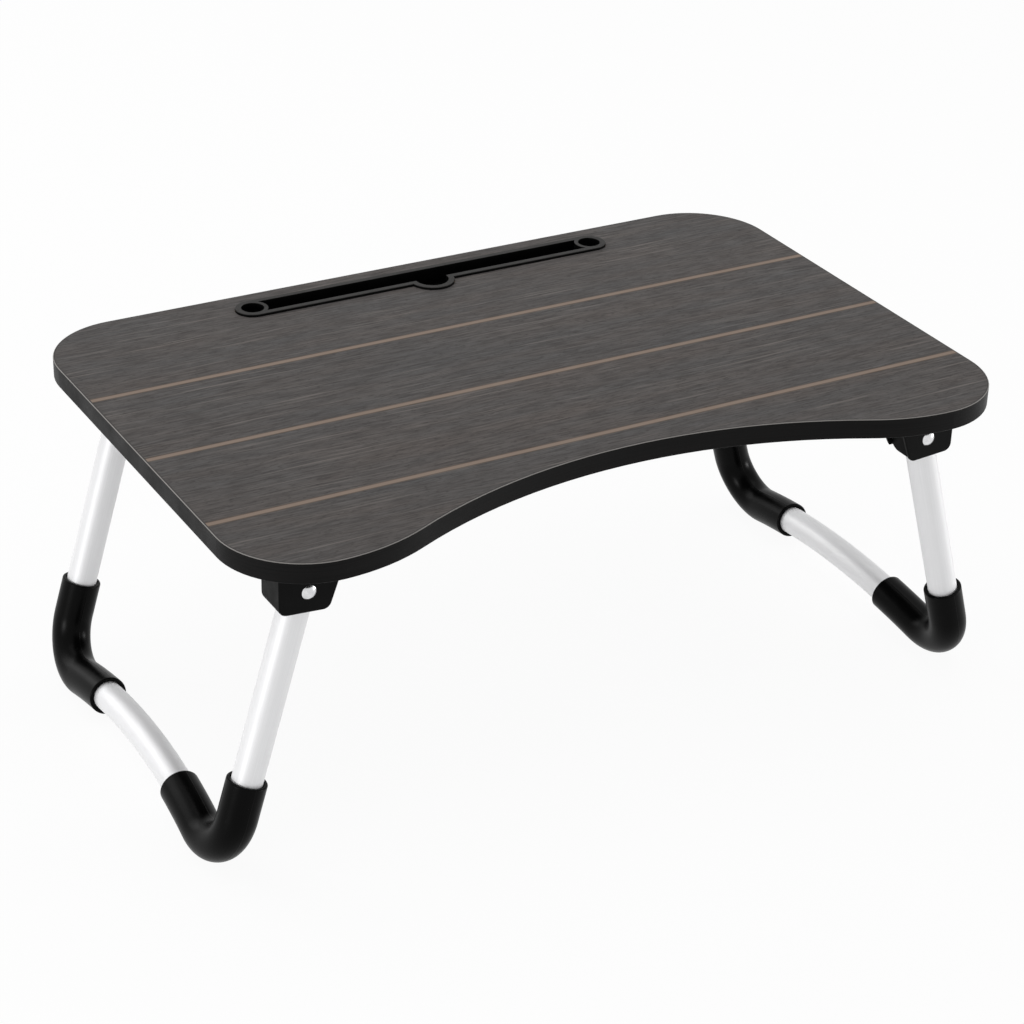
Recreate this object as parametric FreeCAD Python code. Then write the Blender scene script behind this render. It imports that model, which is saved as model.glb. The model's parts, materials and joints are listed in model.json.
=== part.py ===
import FreeCAD
import Part
import math
import os

# Folding laptop table: a laminated board with a tablet slot on two folding U-shaped tube legs.
# Millimetres. The origin is on the floor below the middle of the board.
# +X runs along the board, -Y is the user's side with the curved cut-out, +Z is up.

# Overall sizes
BOARD_LENGTH = 600.0
BOARD_DEPTH = 400.0
TABLE_HEIGHT = 255.0

# Board build-up
CORE_THICKNESS = 14.0
LAMINATE_THICKNESS = 0.5
BAND_THICKNESS = 1.5
BAND_EDGE_RADIUS = 0.9

# Board outline
BACK_CORNER_RADIUS = 61.0
FRONT_CORNER_RADIUS = 62.0
CUT_DEPTH = 55.0
LOBE_RADIUS = 142.0

# Slot tray
SLOT_BACK_MARGIN = 15.25
SLOT_OFFSET = 12.0
POCKET_SPACING = 292.0
POCKET_DIAMETER = 17.5
POCKET_RING_WALL = 3.0
NOTCH_RADIUS = 13.0
NOTCH_SETBACK = 10.0
TRAY_WALL = 1.6
TRAY_FLOOR = 1.5
TRAY_RECESS = 1.5
LIP_OVERHANG = 2.9
LIP_RISE = 2.0
LIP_EDGE_RADIUS = 0.5
TRAY_FIT = 0.2

# Leg tube
TUBE_DIAMETER = 22.0
TUBE_WALL = 1.2
TUBE_INSET = 50.0
BEND_RADIUS = 34.0
ARCH_RADIUS = 500.0
SPLAY_ANGLE = 16.0

# Tube end plug, with a finger guard down the inner side of the tube
PLUG_FLANGE = 1.5
PLUG_DEPTH = 26.0
PLUG_FIT = 0.05
TUBE_ABOVE_PIVOT = 10.5
GUARD_THICKNESS = 5.0
GUARD_WRAP = 7.0
GUARD_BELOW_PIVOT = 12.0
GUARD_SIDE_GAP = 0.3
GUARD_CORNER_RADIUS = 7.0
GUARD_EDGE_RADIUS = 1.0

# Foot sleeve
SLEEVE_WALL = 3.3
SLEEVE_FIT = 0.05
SLEEVE_LEG_GRIP = 28.0
SLEEVE_BAR_GRIP = 43.0
SLEEVE_MOUTH_GAP = 1.0
SLEEVE_MOUTH_DEPTH = 2.0
SLEEVE_LIP_RADIUS = 1.2
SOLE_FLAT_DEPTH = 0.5

# Hinge bracket
BRACKET_INSET = 31.5
BRACKET_WALL = 4.2
BRACKET_CHEEK = 2.5
BRACKET_BASE = 3.0
BRACKET_SIDE_GAP = 0.4
BRACKET_HEADROOM = 2.8
BRACKET_STOP_HEIGHT = 4.0
BRACKET_TOE_DROP = 2.5
BRACKET_TOE = 14.5
BRACKET_HEEL = 29.5
BRACKET_CORNER_RADIUS = 6.0
BRACKET_HOOD_RADIUS = 9.5
BRACKET_EDGE_RADIUS = 1.0
SWEEP_GAP = 1.0
STOP_GAP = 0.3

# Pivot rivet and washer
RIVET_DIAMETER = 5.0
RIVET_FIT = 0.05
RIVET_HEAD_OVERHANG = 2.75
RIVET_HEAD_HEIGHT = 2.2
CLINCH_OVERHANG = 1.5
CLINCH_HEIGHT = 1.4
WASHER_OVERHANG = 3.0
WASHER_THICKNESS = 0.8

# Bracket screws
SCREW_DIAMETER = 3.5
SCREW_COVER = 4.5
SCREW_TIP_LENGTH = 3.0
SCREW_HEAD_OVERHANG = 1.75
SCREW_HEAD_HEIGHT = 2.0
SCREW_FIT = 0.05
SCREW_WALL_MARGIN = 5.8
SCREW_HEEL_MARGIN = 10.0
SCREW_SPREAD = 14.0

# Levels
TOP_Z = TABLE_HEIGHT
CORE_TOP_Z = TOP_Z - LAMINATE_THICKNESS
CORE_BOTTOM_Z = CORE_TOP_Z - CORE_THICKNESS
UNDERSIDE_Z = CORE_BOTTOM_Z - LAMINATE_THICKNESS
BAND_HEIGHT = TOP_Z - UNDERSIDE_Z
TRAY_BOTTOM_Z = UNDERSIDE_Z + TRAY_RECESS
SLOT_FLOOR_Z = TRAY_BOTTOM_Z + TRAY_FLOOR
LIP_TOP_Z = TOP_Z + LIP_RISE
SCREW_HEAD_Z = UNDERSIDE_Z - BRACKET_BASE
SCREW_TIP_Z = CORE_TOP_Z - SCREW_COVER

# Slot plan
POCKET_R = POCKET_DIAMETER / 2
LIP_WIDTH = TRAY_WALL + LIP_OVERHANG
SLOT_Y = BOARD_DEPTH / 2 - SLOT_BACK_MARGIN - LIP_WIDTH - POCKET_R

# Hinge place, worked out from the circles that the plugged tube end and its guard sweep
TUBE_R = TUBE_DIAMETER / 2
TUBE_INNER_R = TUBE_R - TUBE_WALL
RIVET_R = RIVET_DIAMETER / 2
END_ABOVE_PIVOT = TUBE_ABOVE_PIVOT + PLUG_FLANGE
END_REACH = math.hypot(END_ABOVE_PIVOT, TUBE_R)
GUARD_FACE = TUBE_R + GUARD_THICKNESS
GUARD_REACH = math.hypot(max(END_ABOVE_PIVOT, GUARD_BELOW_PIVOT), GUARD_FACE)
SWEEP_RADIUS = END_REACH + SWEEP_GAP
PIVOT_X = BOARD_LENGTH / 2 - BRACKET_INSET - BRACKET_WALL - SWEEP_RADIUS
PIVOT_DROP = BRACKET_BASE + GUARD_REACH + BRACKET_HEADROOM
PIVOT_Z = UNDERSIDE_Z - PIVOT_DROP
TUBE_Y = BOARD_DEPTH / 2 - TUBE_INSET
STOP_ACROSS = TUBE_R + STOP_GAP
BRACKET_HALF_GAP = TUBE_R + BRACKET_SIDE_GAP
BRACKET_HALF_WIDTH = BRACKET_HALF_GAP + BRACKET_CHEEK
GUARD_HALF_WIDTH = BRACKET_HALF_GAP - GUARD_SIDE_GAP

# Leg path, measured along the leg from the pivot to the lowest point of the tube's centre line
SPLAY = math.radians(SPLAY_ANGLE)
SLEEVE_R = TUBE_R + SLEEVE_WALL
LOWEST_CENTRE_Z = SLEEVE_R - SOLE_FLAT_DEPTH
LEG_LENGTH = (PIVOT_Z - LOWEST_CENTRE_Z) / math.cos(SPLAY)
BEND_START = LEG_LENGTH - BEND_RADIUS
BEND_CENTRE_Y = TUBE_Y - BEND_RADIUS
ARCH_HALF_ANGLE = math.asin(BEND_CENTRE_Y / (BEND_RADIUS + ARCH_RADIUS))
ARCH_CENTRE = BEND_START + (BEND_RADIUS + ARCH_RADIUS) * math.cos(ARCH_HALF_ANGLE)
SLEEVE_TOP = BEND_START - SLEEVE_LEG_GRIP
SLEEVE_BAR_END = ARCH_RADIUS * math.sin(ARCH_HALF_ANGLE) - SLEEVE_BAR_GRIP

X_AXIS = FreeCAD.Vector(1, 0, 0)
Y_AXIS = FreeCAD.Vector(0, 1, 0)
Z_AXIS = FreeCAD.Vector(0, 0, 1)
ORIGIN = FreeCAD.Vector(0, 0, 0)
SIDES = {"left": -1, "right": 1}
ENDS = {"front": -1, "rear": 1}
CUT_MARGIN = 5.0
MATCH = 1e-3


def point(x, y, z):
    return FreeCAD.Vector(x, y, z)


def save(shape, node):
    shape.exportStep("parts/" + node + ".step")
    print(node, "solids", len(shape.Solids), "volume", round(shape.Volume, 1))


def arc(centre, radius, start_deg, end_deg, z):
    """An arc in a level plane, as an edge from its start angle to its end angle."""
    places = []
    for degrees in (start_deg, (start_deg + end_deg) / 2, end_deg):
        angle = math.radians(degrees)
        places.append(point(centre[0] + radius * math.cos(angle), centre[1] + radius * math.sin(angle), z))
    return Part.Arc(*places).toShape()


def rounded_profile(corners, y):
    """A closed outline in an XZ plane. Each corner is (x, z, radius), and radius 0 stays sharp."""
    entries = []
    exits = []
    edges = []
    count = len(corners)
    for index, (x, z, radius) in enumerate(corners):
        here = point(x, y, z)
        before = point(corners[index - 1][0], y, corners[index - 1][1])
        after = point(corners[(index + 1) % count][0], y, corners[(index + 1) % count][1])
        to_before = (before - here).normalize()
        to_after = (after - here).normalize()
        half_angle = to_before.getAngle(to_after) / 2
        reach = radius / math.tan(half_angle)
        entries.append(here + to_before * reach)
        exits.append(here + to_after * reach)
        if radius > 0:
            inward = (to_before + to_after).normalize()
            middle = here + inward * (radius / math.sin(half_angle) - radius)
            edges.append(Part.Arc(entries[-1], middle, exits[-1]).toShape())
    for index in range(count):
        edges.append(Part.LineSegment(exits[index], entries[(index + 1) % count]).toShape())
    return Part.Face(Part.Wire(Part.__sortEdges__(edges)))


def board_plate(inset, bottom_z, thickness):
    """A plate with the board's outline, drawn in from the rim by inset."""
    half_length = BOARD_LENGTH / 2
    half_depth = BOARD_DEPTH / 2
    lobe_x = half_length - FRONT_CORNER_RADIUS
    back_x = half_length - BACK_CORNER_RADIUS
    back_y = half_depth - BACK_CORNER_RADIUS
    front_y = FRONT_CORNER_RADIUS - half_depth
    # The cut-out is the arc that reaches its depth and runs smoothly into the lobe on each side.
    cut_radius = (lobe_x ** 2 + CUT_DEPTH ** 2) / (2 * CUT_DEPTH) - LOBE_RADIUS
    cut_y = CUT_DEPTH - half_depth - cut_radius
    lobe_y = LOBE_RADIUS - half_depth
    slope = math.degrees(math.atan2(lobe_x, lobe_y - cut_y))
    back_radius = BACK_CORNER_RADIUS - inset
    corner_radius = FRONT_CORNER_RADIUS - inset
    side_x = half_length - inset
    back_edge_y = half_depth - inset
    z = bottom_z
    edges = [
        Part.LineSegment(point(back_x, back_edge_y, z), point(-back_x, back_edge_y, z)).toShape(),
        arc((-back_x, back_y), back_radius, 90, 180, z),
        Part.LineSegment(point(-side_x, back_y, z), point(-side_x, front_y, z)).toShape(),
        arc((-lobe_x, front_y), corner_radius, 180, 270, z),
        arc((-lobe_x, lobe_y), LOBE_RADIUS - inset, 270, 270 + slope, z),
        arc((0, cut_y), cut_radius + inset, 90 + slope, 90 - slope, z),
        arc((lobe_x, lobe_y), LOBE_RADIUS - inset, 270 - slope, 270, z),
        arc((lobe_x, front_y), corner_radius, 270, 360, z),
        Part.LineSegment(point(side_x, front_y, z), point(side_x, back_y, z)).toShape(),
        arc((back_x, back_y), back_radius, 0, 90, z),
    ]
    return Part.Face(Part.Wire(edges)).extrude(Z_AXIS * thickness)


def slot_centre(z):
    return point(SLOT_OFFSET, SLOT_Y, z)


def pocket_cylinders(radius, bottom_z, height):
    """One upright cylinder at each end of the slot."""
    made = []
    for side in SIDES.values():
        place = slot_centre(bottom_z) + X_AXIS * (side * POCKET_SPACING / 2)
        made.append(Part.makeCylinder(radius, height, place, Z_AXIS))
    return made


def slot_block(growth, bottom_z, height):
    """The slot's plan, round ends and thumb notch included, grown outward and raised to a block."""
    radius = POCKET_R + growth
    corner = slot_centre(bottom_z) - X_AXIS * (POCKET_SPACING / 2) - Y_AXIS * radius
    block = Part.makeBox(POCKET_SPACING, 2 * radius, height, corner)
    notch_place = slot_centre(bottom_z) - Y_AXIS * NOTCH_SETBACK
    notch = Part.makeCylinder(NOTCH_RADIUS + growth, height, notch_place, Z_AXIS)
    return block.multiFuse(pocket_cylinders(radius, bottom_z, height) + [notch]).removeSplitter()


def through_slot(growth):
    """The slot's plan as a cutter through the whole board."""
    return slot_block(growth, UNDERSIDE_Z - CUT_MARGIN, BAND_HEIGHT + 2 * CUT_MARGIN)


def screw_places():
    """The screw axes at the brackets' base plates: one by the outer wall, two near the inner end."""
    places = []
    for side in SIDES.values():
        for end in ENDS.values():
            outer_x = PIVOT_X + SWEEP_RADIUS - SCREW_WALL_MARGIN
            inner_x = PIVOT_X - BRACKET_HEEL + SCREW_HEEL_MARGIN
            places.append(point(side * outer_x, end * TUBE_Y, 0))
            for offset in (-SCREW_SPREAD / 2, SCREW_SPREAD / 2):
                places.append(point(side * inner_x, end * TUBE_Y + offset, 0))
    return places


def screw_shape(place, fit):
    """A countersunk screw pointing up, or with a fit, the room that it needs."""
    radius = SCREW_DIAMETER / 2 + fit
    head_radius = radius + SCREW_HEAD_OVERHANG
    base = place + Z_AXIS * SCREW_HEAD_Z
    shank_length = SCREW_TIP_Z - SCREW_HEAD_Z - SCREW_HEAD_HEIGHT - SCREW_TIP_LENGTH + fit
    head = Part.makeCone(head_radius, radius, SCREW_HEAD_HEIGHT, base, Z_AXIS)
    shank = Part.makeCylinder(radius, shank_length, base + Z_AXIS * SCREW_HEAD_HEIGHT, Z_AXIS)
    tip_base = base + Z_AXIS * (SCREW_HEAD_HEIGHT + shank_length)
    tip = Part.makeCone(radius, 0, SCREW_TIP_LENGTH, tip_base, Z_AXIS)
    return head.multiFuse([shank, tip]).removeSplitter()


def board_core():
    core = board_plate(BAND_THICKNESS, CORE_BOTTOM_Z, CORE_THICKNESS)
    cutters = [through_slot(TRAY_WALL + TRAY_FIT)]
    cutters += [screw_shape(place, SCREW_FIT) for place in screw_places()]
    return core.cut(cutters)


def top_laminate():
    sheet = board_plate(BAND_THICKNESS, CORE_TOP_Z, LAMINATE_THICKNESS)
    return sheet.cut(through_slot(LIP_WIDTH + TRAY_FIT))


def bottom_laminate():
    sheet = board_plate(BAND_THICKNESS, UNDERSIDE_Z, LAMINATE_THICKNESS)
    cutters = [through_slot(TRAY_WALL + TRAY_FIT)]
    cutters += [screw_shape(place, SCREW_FIT) for place in screw_places()]
    return sheet.cut(cutters)


def edge_band():
    outer = board_plate(0, UNDERSIDE_Z, BAND_HEIGHT)
    rims = []
    for edge in outer.Edges:
        low = edge.BoundBox.ZMin
        high = edge.BoundBox.ZMax
        if high - low < MATCH:
            rims.append(edge)
    rounded = outer.makeFillet(BAND_EDGE_RADIUS, rims)
    return rounded.cut(board_plate(BAND_THICKNESS, UNDERSIDE_Z - CUT_MARGIN, BAND_HEIGHT + 2 * CUT_MARGIN))


def slot_tray():
    cavity_height = LIP_TOP_Z - SLOT_FLOOR_Z + CUT_MARGIN
    body = slot_block(TRAY_WALL, TRAY_BOTTOM_Z, CORE_TOP_Z - TRAY_BOTTOM_Z)
    lip = slot_block(LIP_WIDTH, CORE_TOP_Z, LIP_TOP_Z - CORE_TOP_Z)
    lip_rim = [edge for edge in lip.Edges if edge.BoundBox.ZMin > LIP_TOP_Z - MATCH]
    lip = lip.makeFillet(LIP_EDGE_RADIUS, lip_rim)
    trough = slot_block(0, SLOT_FLOOR_Z, cavity_height)
    trough = trough.cut(pocket_cylinders(POCKET_R + POCKET_RING_WALL, SLOT_FLOOR_Z, cavity_height))
    hollows = [trough] + pocket_cylinders(POCKET_R, SLOT_FLOOR_Z, cavity_height)
    return body.fuse(lip).cut(hollows).removeSplitter()


def beside_leg(along):
    """A point just outside the open left leg, at a distance along it below the pivot."""
    x = -along * math.sin(SPLAY) - STOP_ACROSS * math.cos(SPLAY)
    z = -along * math.cos(SPLAY) + STOP_ACROSS * math.sin(SPLAY)
    return x, z


def bracket_hood(outer_x, base_z, toe_z):
    """The bracket's shape seen along X: its lower edge is rounded off towards the inner cheek at +Y."""
    corners = [
        (-BRACKET_HALF_WIDTH - CUT_MARGIN, base_z + CUT_MARGIN, 0),
        (-BRACKET_HALF_WIDTH - CUT_MARGIN, toe_z, 0),
        (BRACKET_HALF_WIDTH, toe_z, BRACKET_HOOD_RADIUS),
        (BRACKET_HALF_WIDTH, base_z + CUT_MARGIN, 0),
    ]
    profile = rounded_profile(corners, -BRACKET_HEEL - CUT_MARGIN)
    hood = profile.extrude(Y_AXIS * (BRACKET_HEEL - outer_x + 2 * CUT_MARGIN))
    hood.rotate(ORIGIN, Z_AXIS, 90)
    return hood


def hinge_bracket():
    """The left bracket, about a pivot at the origin: outer wall to -X, open to +X and below."""
    base_z = PIVOT_DROP
    outer_x = -(SWEEP_RADIUS + BRACKET_WALL)
    # The stop face starts where the line beside the open leg meets the circle that the tube end sweeps.
    stop_top = beside_leg(math.sqrt(SWEEP_RADIUS ** 2 - STOP_ACROSS ** 2))
    wall_z = stop_top[1] - BRACKET_STOP_HEIGHT
    toe_z = wall_z - BRACKET_TOE_DROP
    corners = [
        (outer_x, base_z, 0),
        (outer_x, wall_z, BRACKET_CORNER_RADIUS),
        (BRACKET_TOE, toe_z, BRACKET_CORNER_RADIUS),
        (BRACKET_HEEL, base_z, 0),
    ]
    block = rounded_profile(corners, -BRACKET_HALF_WIDTH).extrude(Y_AXIS * (2 * BRACKET_HALF_WIDTH))
    block = block.common(bracket_hood(outer_x, base_z, toe_z))
    soft_edges = []
    for edge in block.Edges:
        box = edge.BoundBox
        on_base = box.ZMin > base_z - MATCH
        # A level edge along X or Y only parts two faces that run smoothly into each other.
        smooth = box.ZLength < MATCH and min(box.XLength, box.YLength) < MATCH
        if not on_base and not smooth:
            soft_edges.append(edge)
    block = block.makeFillet(BRACKET_EDGE_RADIUS, soft_edges)

    # The room for the tube: clear of the circle its end sweeps, then along the stop face and out below.
    stop_bottom = beside_leg(SWEEP_RADIUS - toe_z)
    room_corners = [
        (-SWEEP_RADIUS, base_z - BRACKET_BASE, 0),
        (-SWEEP_RADIUS, stop_top[1], 0),
        (stop_top[0], stop_top[1], 0),
        (stop_bottom[0], stop_bottom[1], 0),
        (BRACKET_HEEL + CUT_MARGIN, stop_bottom[1], 0),
        (BRACKET_HEEL + CUT_MARGIN, base_z - BRACKET_BASE, 0),
    ]
    room = rounded_profile(room_corners, -BRACKET_HALF_GAP).extrude(Y_AXIS * (2 * BRACKET_HALF_GAP))
    hole_start = point(0, -BRACKET_HALF_WIDTH - CUT_MARGIN, 0)
    hole_length = 2 * (BRACKET_HALF_WIDTH + CUT_MARGIN)
    hole = Part.makeCylinder(RIVET_R + RIVET_FIT, hole_length, hole_start, Y_AXIS)
    return block.cut([room, hole])


def pivot_rivet():
    """A set rivet along Y, about a pivot at the origin: domed head to -Y, closed end to +Y."""
    head_y = -BRACKET_HALF_WIDTH
    closed_y = BRACKET_HALF_WIDTH + WASHER_THICKNESS
    head_r = RIVET_R + RIVET_HEAD_OVERHANG
    clinch_r = RIVET_R + CLINCH_OVERHANG
    tip = point(0, head_y - RIVET_HEAD_HEIGHT, 0)
    end = point(0, closed_y + CLINCH_HEIGHT, 0)
    # Each dome is an arc that meets the axis at a right angle.
    head_middle = dome_middle(head_y, head_r, -RIVET_HEAD_HEIGHT)
    head_dome = Part.Arc(dome_start(head_y, head_r), head_middle, tip)
    clinch_middle = dome_middle(closed_y, clinch_r, CLINCH_HEIGHT)
    clinch_dome = Part.Arc(dome_start(closed_y, clinch_r), clinch_middle, end)
    edges = [
        head_dome.toShape(),
        Part.LineSegment(dome_start(head_y, head_r), point(RIVET_R, head_y, 0)).toShape(),
        Part.LineSegment(point(RIVET_R, head_y, 0), point(RIVET_R, closed_y, 0)).toShape(),
        Part.LineSegment(point(RIVET_R, closed_y, 0), dome_start(closed_y, clinch_r)).toShape(),
        clinch_dome.toShape(),
        Part.LineSegment(end, tip).toShape(),
    ]
    profile = Part.Face(Part.Wire(Part.__sortEdges__(edges)))
    return profile.revolve(ORIGIN, Y_AXIS, 360)


def dome_start(y, radius):
    return point(radius, y, 0)


def dome_middle(y, radius, height):
    """The point halfway along a dome's arc from its rim to its top."""
    rise = abs(height)
    sphere = (radius ** 2 + rise ** 2) / (2 * rise)
    half_turn = math.asin(radius / sphere) / 2
    depth = sphere * (1 - math.cos(half_turn))
    return point(sphere * math.sin(half_turn), y + math.copysign(rise - depth, height), 0)


def rivet_washer():
    """The washer on the rivet's closed end, about a pivot at the origin."""
    seat = point(0, BRACKET_HALF_WIDTH, 0)
    disc = Part.makeCylinder(RIVET_R + WASHER_OVERHANG, WASHER_THICKNESS, seat, Y_AXIS)
    return disc.cut(Part.makeCylinder(RIVET_R + RIVET_FIT, WASHER_THICKNESS, seat, Y_AXIS))


def mirrored(shape, side, end):
    """A piece placed at the left front corner, mirrored to another corner."""
    placed = shape.copy()
    if side > 0:
        placed = placed.mirror(ORIGIN, X_AXIS)
    if end > 0:
        placed = placed.mirror(ORIGIN, Y_AXIS)
    return placed


def at_hinge(shape):
    """A left hinge piece, made about a pivot at the origin, moved to the left front hinge."""
    placed = shape.copy()
    placed.translate(point(-PIVOT_X, -TUBE_Y, PIVOT_Z))
    return placed


def splayed(shape):
    """A leg piece, made upright below a pivot at the origin, moved to the open left leg."""
    placed = shape.copy()
    placed.rotate(ORIGIN, Y_AXIS, SPLAY_ANGLE)
    placed.translate(point(-PIVOT_X, 0, PIVOT_Z))
    return placed


def straight_run(radius, top, bottom, end):
    """A round bar down one side of the leg, between two distances below the pivot."""
    return Part.makeCylinder(radius, bottom - top, point(0, end * TUBE_Y, -bottom), Z_AXIS)


def bend_run(radius, end):
    """The bend from one side of the leg into the start of the arched bar."""
    disc = Part.Face(Part.Wire(Part.makeCircle(radius, point(0, end * TUBE_Y, -BEND_START), Z_AXIS)))
    centre = point(0, end * BEND_CENTRE_Y, -BEND_START)
    turn = 90 + math.degrees(ARCH_HALF_ANGLE)
    return disc.revolve(centre, X_AXIS * -end, turn)


def arch_run(radius, from_angle, to_angle):
    """A stretch of the arched bar, between two angles from its crown, in radians towards +Y."""
    centre = point(0, 0, -ARCH_CENTRE)
    disc = Part.Face(Part.Wire(Part.makeCircle(radius, point(0, 0, ARCH_RADIUS - ARCH_CENTRE), Y_AXIS)))
    disc.rotate(centre, X_AXIS, -math.degrees(from_angle))
    return disc.revolve(centre, X_AXIS * -1, math.degrees(to_angle - from_angle))


def leg_bar(radius, top):
    """A solid round bar along the whole leg, from a distance below the pivot on each side."""
    runs = [arch_run(radius, -ARCH_HALF_ANGLE, ARCH_HALF_ANGLE)]
    for end in ENDS.values():
        runs.append(straight_run(radius, top, BEND_START, end))
        runs.append(bend_run(radius, end))
    return runs[0].multiFuse(runs[1:]).removeSplitter()


def cross_holes(fit):
    """Cutters for the rivets through both sides of the leg."""
    length = 2 * (TUBE_R + CUT_MARGIN)
    holes = []
    for end in ENDS.values():
        start = point(0, end * TUBE_Y - length / 2, 0)
        holes.append(Part.makeCylinder(RIVET_R + fit, length, start, Y_AXIS))
    return holes


def leg_tube():
    outside = leg_bar(TUBE_R, -TUBE_ABOVE_PIVOT)
    inside = leg_bar(TUBE_INNER_R, -TUBE_ABOVE_PIVOT)
    return outside.cut([inside] + cross_holes(RIVET_FIT))


def finger_guard():
    """The front guard: a pad down the inner side of the tube that fills the bracket's open side."""
    end = ENDS["front"]
    start_x = TUBE_R - GUARD_WRAP
    corner = point(start_x, end * TUBE_Y - GUARD_HALF_WIDTH, -GUARD_BELOW_PIVOT)
    pad = Part.makeBox(GUARD_FACE - start_x, 2 * GUARD_HALF_WIDTH, GUARD_BELOW_PIVOT + END_ABOVE_PIVOT, corner)
    lower = []
    for edge in pad.Edges:
        at_bottom = edge.BoundBox.ZMax < MATCH - GUARD_BELOW_PIVOT
        along_x = edge.BoundBox.YLength < MATCH
        if at_bottom and along_x:
            lower.append(edge)
    pad = pad.makeFillet(GUARD_CORNER_RADIUS, lower)
    face_edges = [edge for edge in pad.Edges if edge.BoundBox.XMin > GUARD_FACE - MATCH]
    pad = pad.makeFillet(GUARD_EDGE_RADIUS, face_edges)
    return pad.cut(straight_run(TUBE_R + PLUG_FIT, -TUBE_ABOVE_PIVOT, LEG_LENGTH, end))


def tube_end_plug():
    """The front plug: a stem in the tube's open end, a flange on its rim and the finger guard."""
    end = ENDS["front"]
    stem = straight_run(TUBE_INNER_R - PLUG_FIT, -TUBE_ABOVE_PIVOT, PLUG_DEPTH - TUBE_ABOVE_PIVOT, end)
    flange = straight_run(TUBE_R, -END_ABOVE_PIVOT, -TUBE_ABOVE_PIVOT, end)
    solid = stem.multiFuse([flange, finger_guard()]).removeSplitter()
    return solid.cut(cross_holes(RIVET_FIT))


def arch_angle(distance):
    """The angle from the arched bar's crown to a place that far from the leg's middle."""
    return math.asin(distance / ARCH_RADIUS)


def sleeve_bar(radius):
    """A solid elbow over the front bend, from up the side of the leg to along the arched bar."""
    end = ENDS["front"]
    upright = straight_run(radius, SLEEVE_TOP, BEND_START, end)
    along_bar = arch_run(radius, -ARCH_HALF_ANGLE, -arch_angle(SLEEVE_BAR_END))
    return upright.multiFuse([bend_run(radius, end), along_bar]).removeSplitter()


def foot_sleeve():
    """The front sleeve: a rubber elbow with a rounded lip and a wider mouth at each end."""
    end = ENDS["front"]
    mouth_radius = TUBE_R + SLEEVE_MOUTH_GAP
    mouth_start = SLEEVE_BAR_END + SLEEVE_MOUTH_DEPTH
    elbow = sleeve_bar(SLEEVE_R)
    lips = []
    for edge in elbow.Edges:
        at_top = edge.BoundBox.ZMin > -SLEEVE_TOP - MATCH
        at_bar_end = end * edge.CenterOfMass.y < SLEEVE_BAR_END + MATCH
        if at_top or at_bar_end:
            lips.append(edge)
    elbow = elbow.makeFillet(SLEEVE_LIP_RADIUS, lips)
    top_mouth = straight_run(mouth_radius, SLEEVE_TOP, SLEEVE_TOP + SLEEVE_MOUTH_DEPTH, end)
    bar_mouth = arch_run(mouth_radius, -arch_angle(mouth_start), -arch_angle(SLEEVE_BAR_END))
    return elbow.cut([sleeve_bar(TUBE_R + SLEEVE_FIT), top_mouth, bar_mouth])


def flat_sole(sleeve):
    """A splayed sleeve with its underside cut level with the floor."""
    box = sleeve.BoundBox
    corner = point(box.XMin - CUT_MARGIN, box.YMin - CUT_MARGIN, box.ZMin - CUT_MARGIN)
    size_x = box.XLength + 2 * CUT_MARGIN
    size_y = box.YLength + 2 * CUT_MARGIN
    return sleeve.cut(Part.makeBox(size_x, size_y, -corner.z, corner))


os.makedirs("parts", exist_ok=True)

# Board
save(board_core(), "board_core")
save(top_laminate(), "top_laminate")
save(bottom_laminate(), "bottom_laminate")
save(edge_band(), "edge_band")
save(slot_tray(), "slot_tray")

# Hinges
screw_rooms = [screw_shape(place, SCREW_FIT) for place in screw_places()]
bracket = at_hinge(hinge_bracket()).cut(screw_rooms)
rivet = at_hinge(pivot_rivet())
washer = at_hinge(rivet_washer())
washers = []
for end_name, end_sign in ENDS.items():
    for side_name, side_sign in SIDES.items():
        corner_name = end_name + "_" + side_name
        save(mirrored(bracket, side_sign, end_sign), "hinge_bracket_" + corner_name)
        save(mirrored(rivet, side_sign, end_sign), "pivot_rivet_" + corner_name)
        washers.append(mirrored(washer, side_sign, end_sign))
save(Part.makeCompound(washers), "rivet_washers")
save(Part.makeCompound([screw_shape(place, 0) for place in screw_places()]), "bracket_screws")

# Legs
tube = splayed(leg_tube())
plug = splayed(tube_end_plug())
sleeve = flat_sole(splayed(foot_sleeve()))
for side_name, side_sign in SIDES.items():
    save(mirrored(tube, side_sign, ENDS["front"]), "leg_tube_" + side_name)
    for end_name, end_sign in ENDS.items():
        corner_name = end_name + "_" + side_name
        save(mirrored(plug, side_sign, end_sign), "tube_end_plug_" + corner_name)
        save(mirrored(sleeve, side_sign, end_sign), "foot_sleeve_" + corner_name)

print("pivot x", round(PIVOT_X, 3), "pivot z", round(PIVOT_Z, 3), "leg length", round(LEG_LENGTH, 3))
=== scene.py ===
# %% [markdown]
# # A folding laptop table
# The table is a laminated board with a tablet slot, on two U-shaped tube legs that fold under it.
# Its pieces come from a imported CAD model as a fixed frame, and this lesson gives them their looks.
# Everything is in metres, +Z is up, and the user sits on the -Y side, at the curved cut-out.

# %% Load the frame
import bmesh
import bpy
import json
import math
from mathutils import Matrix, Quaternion, Vector


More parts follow.
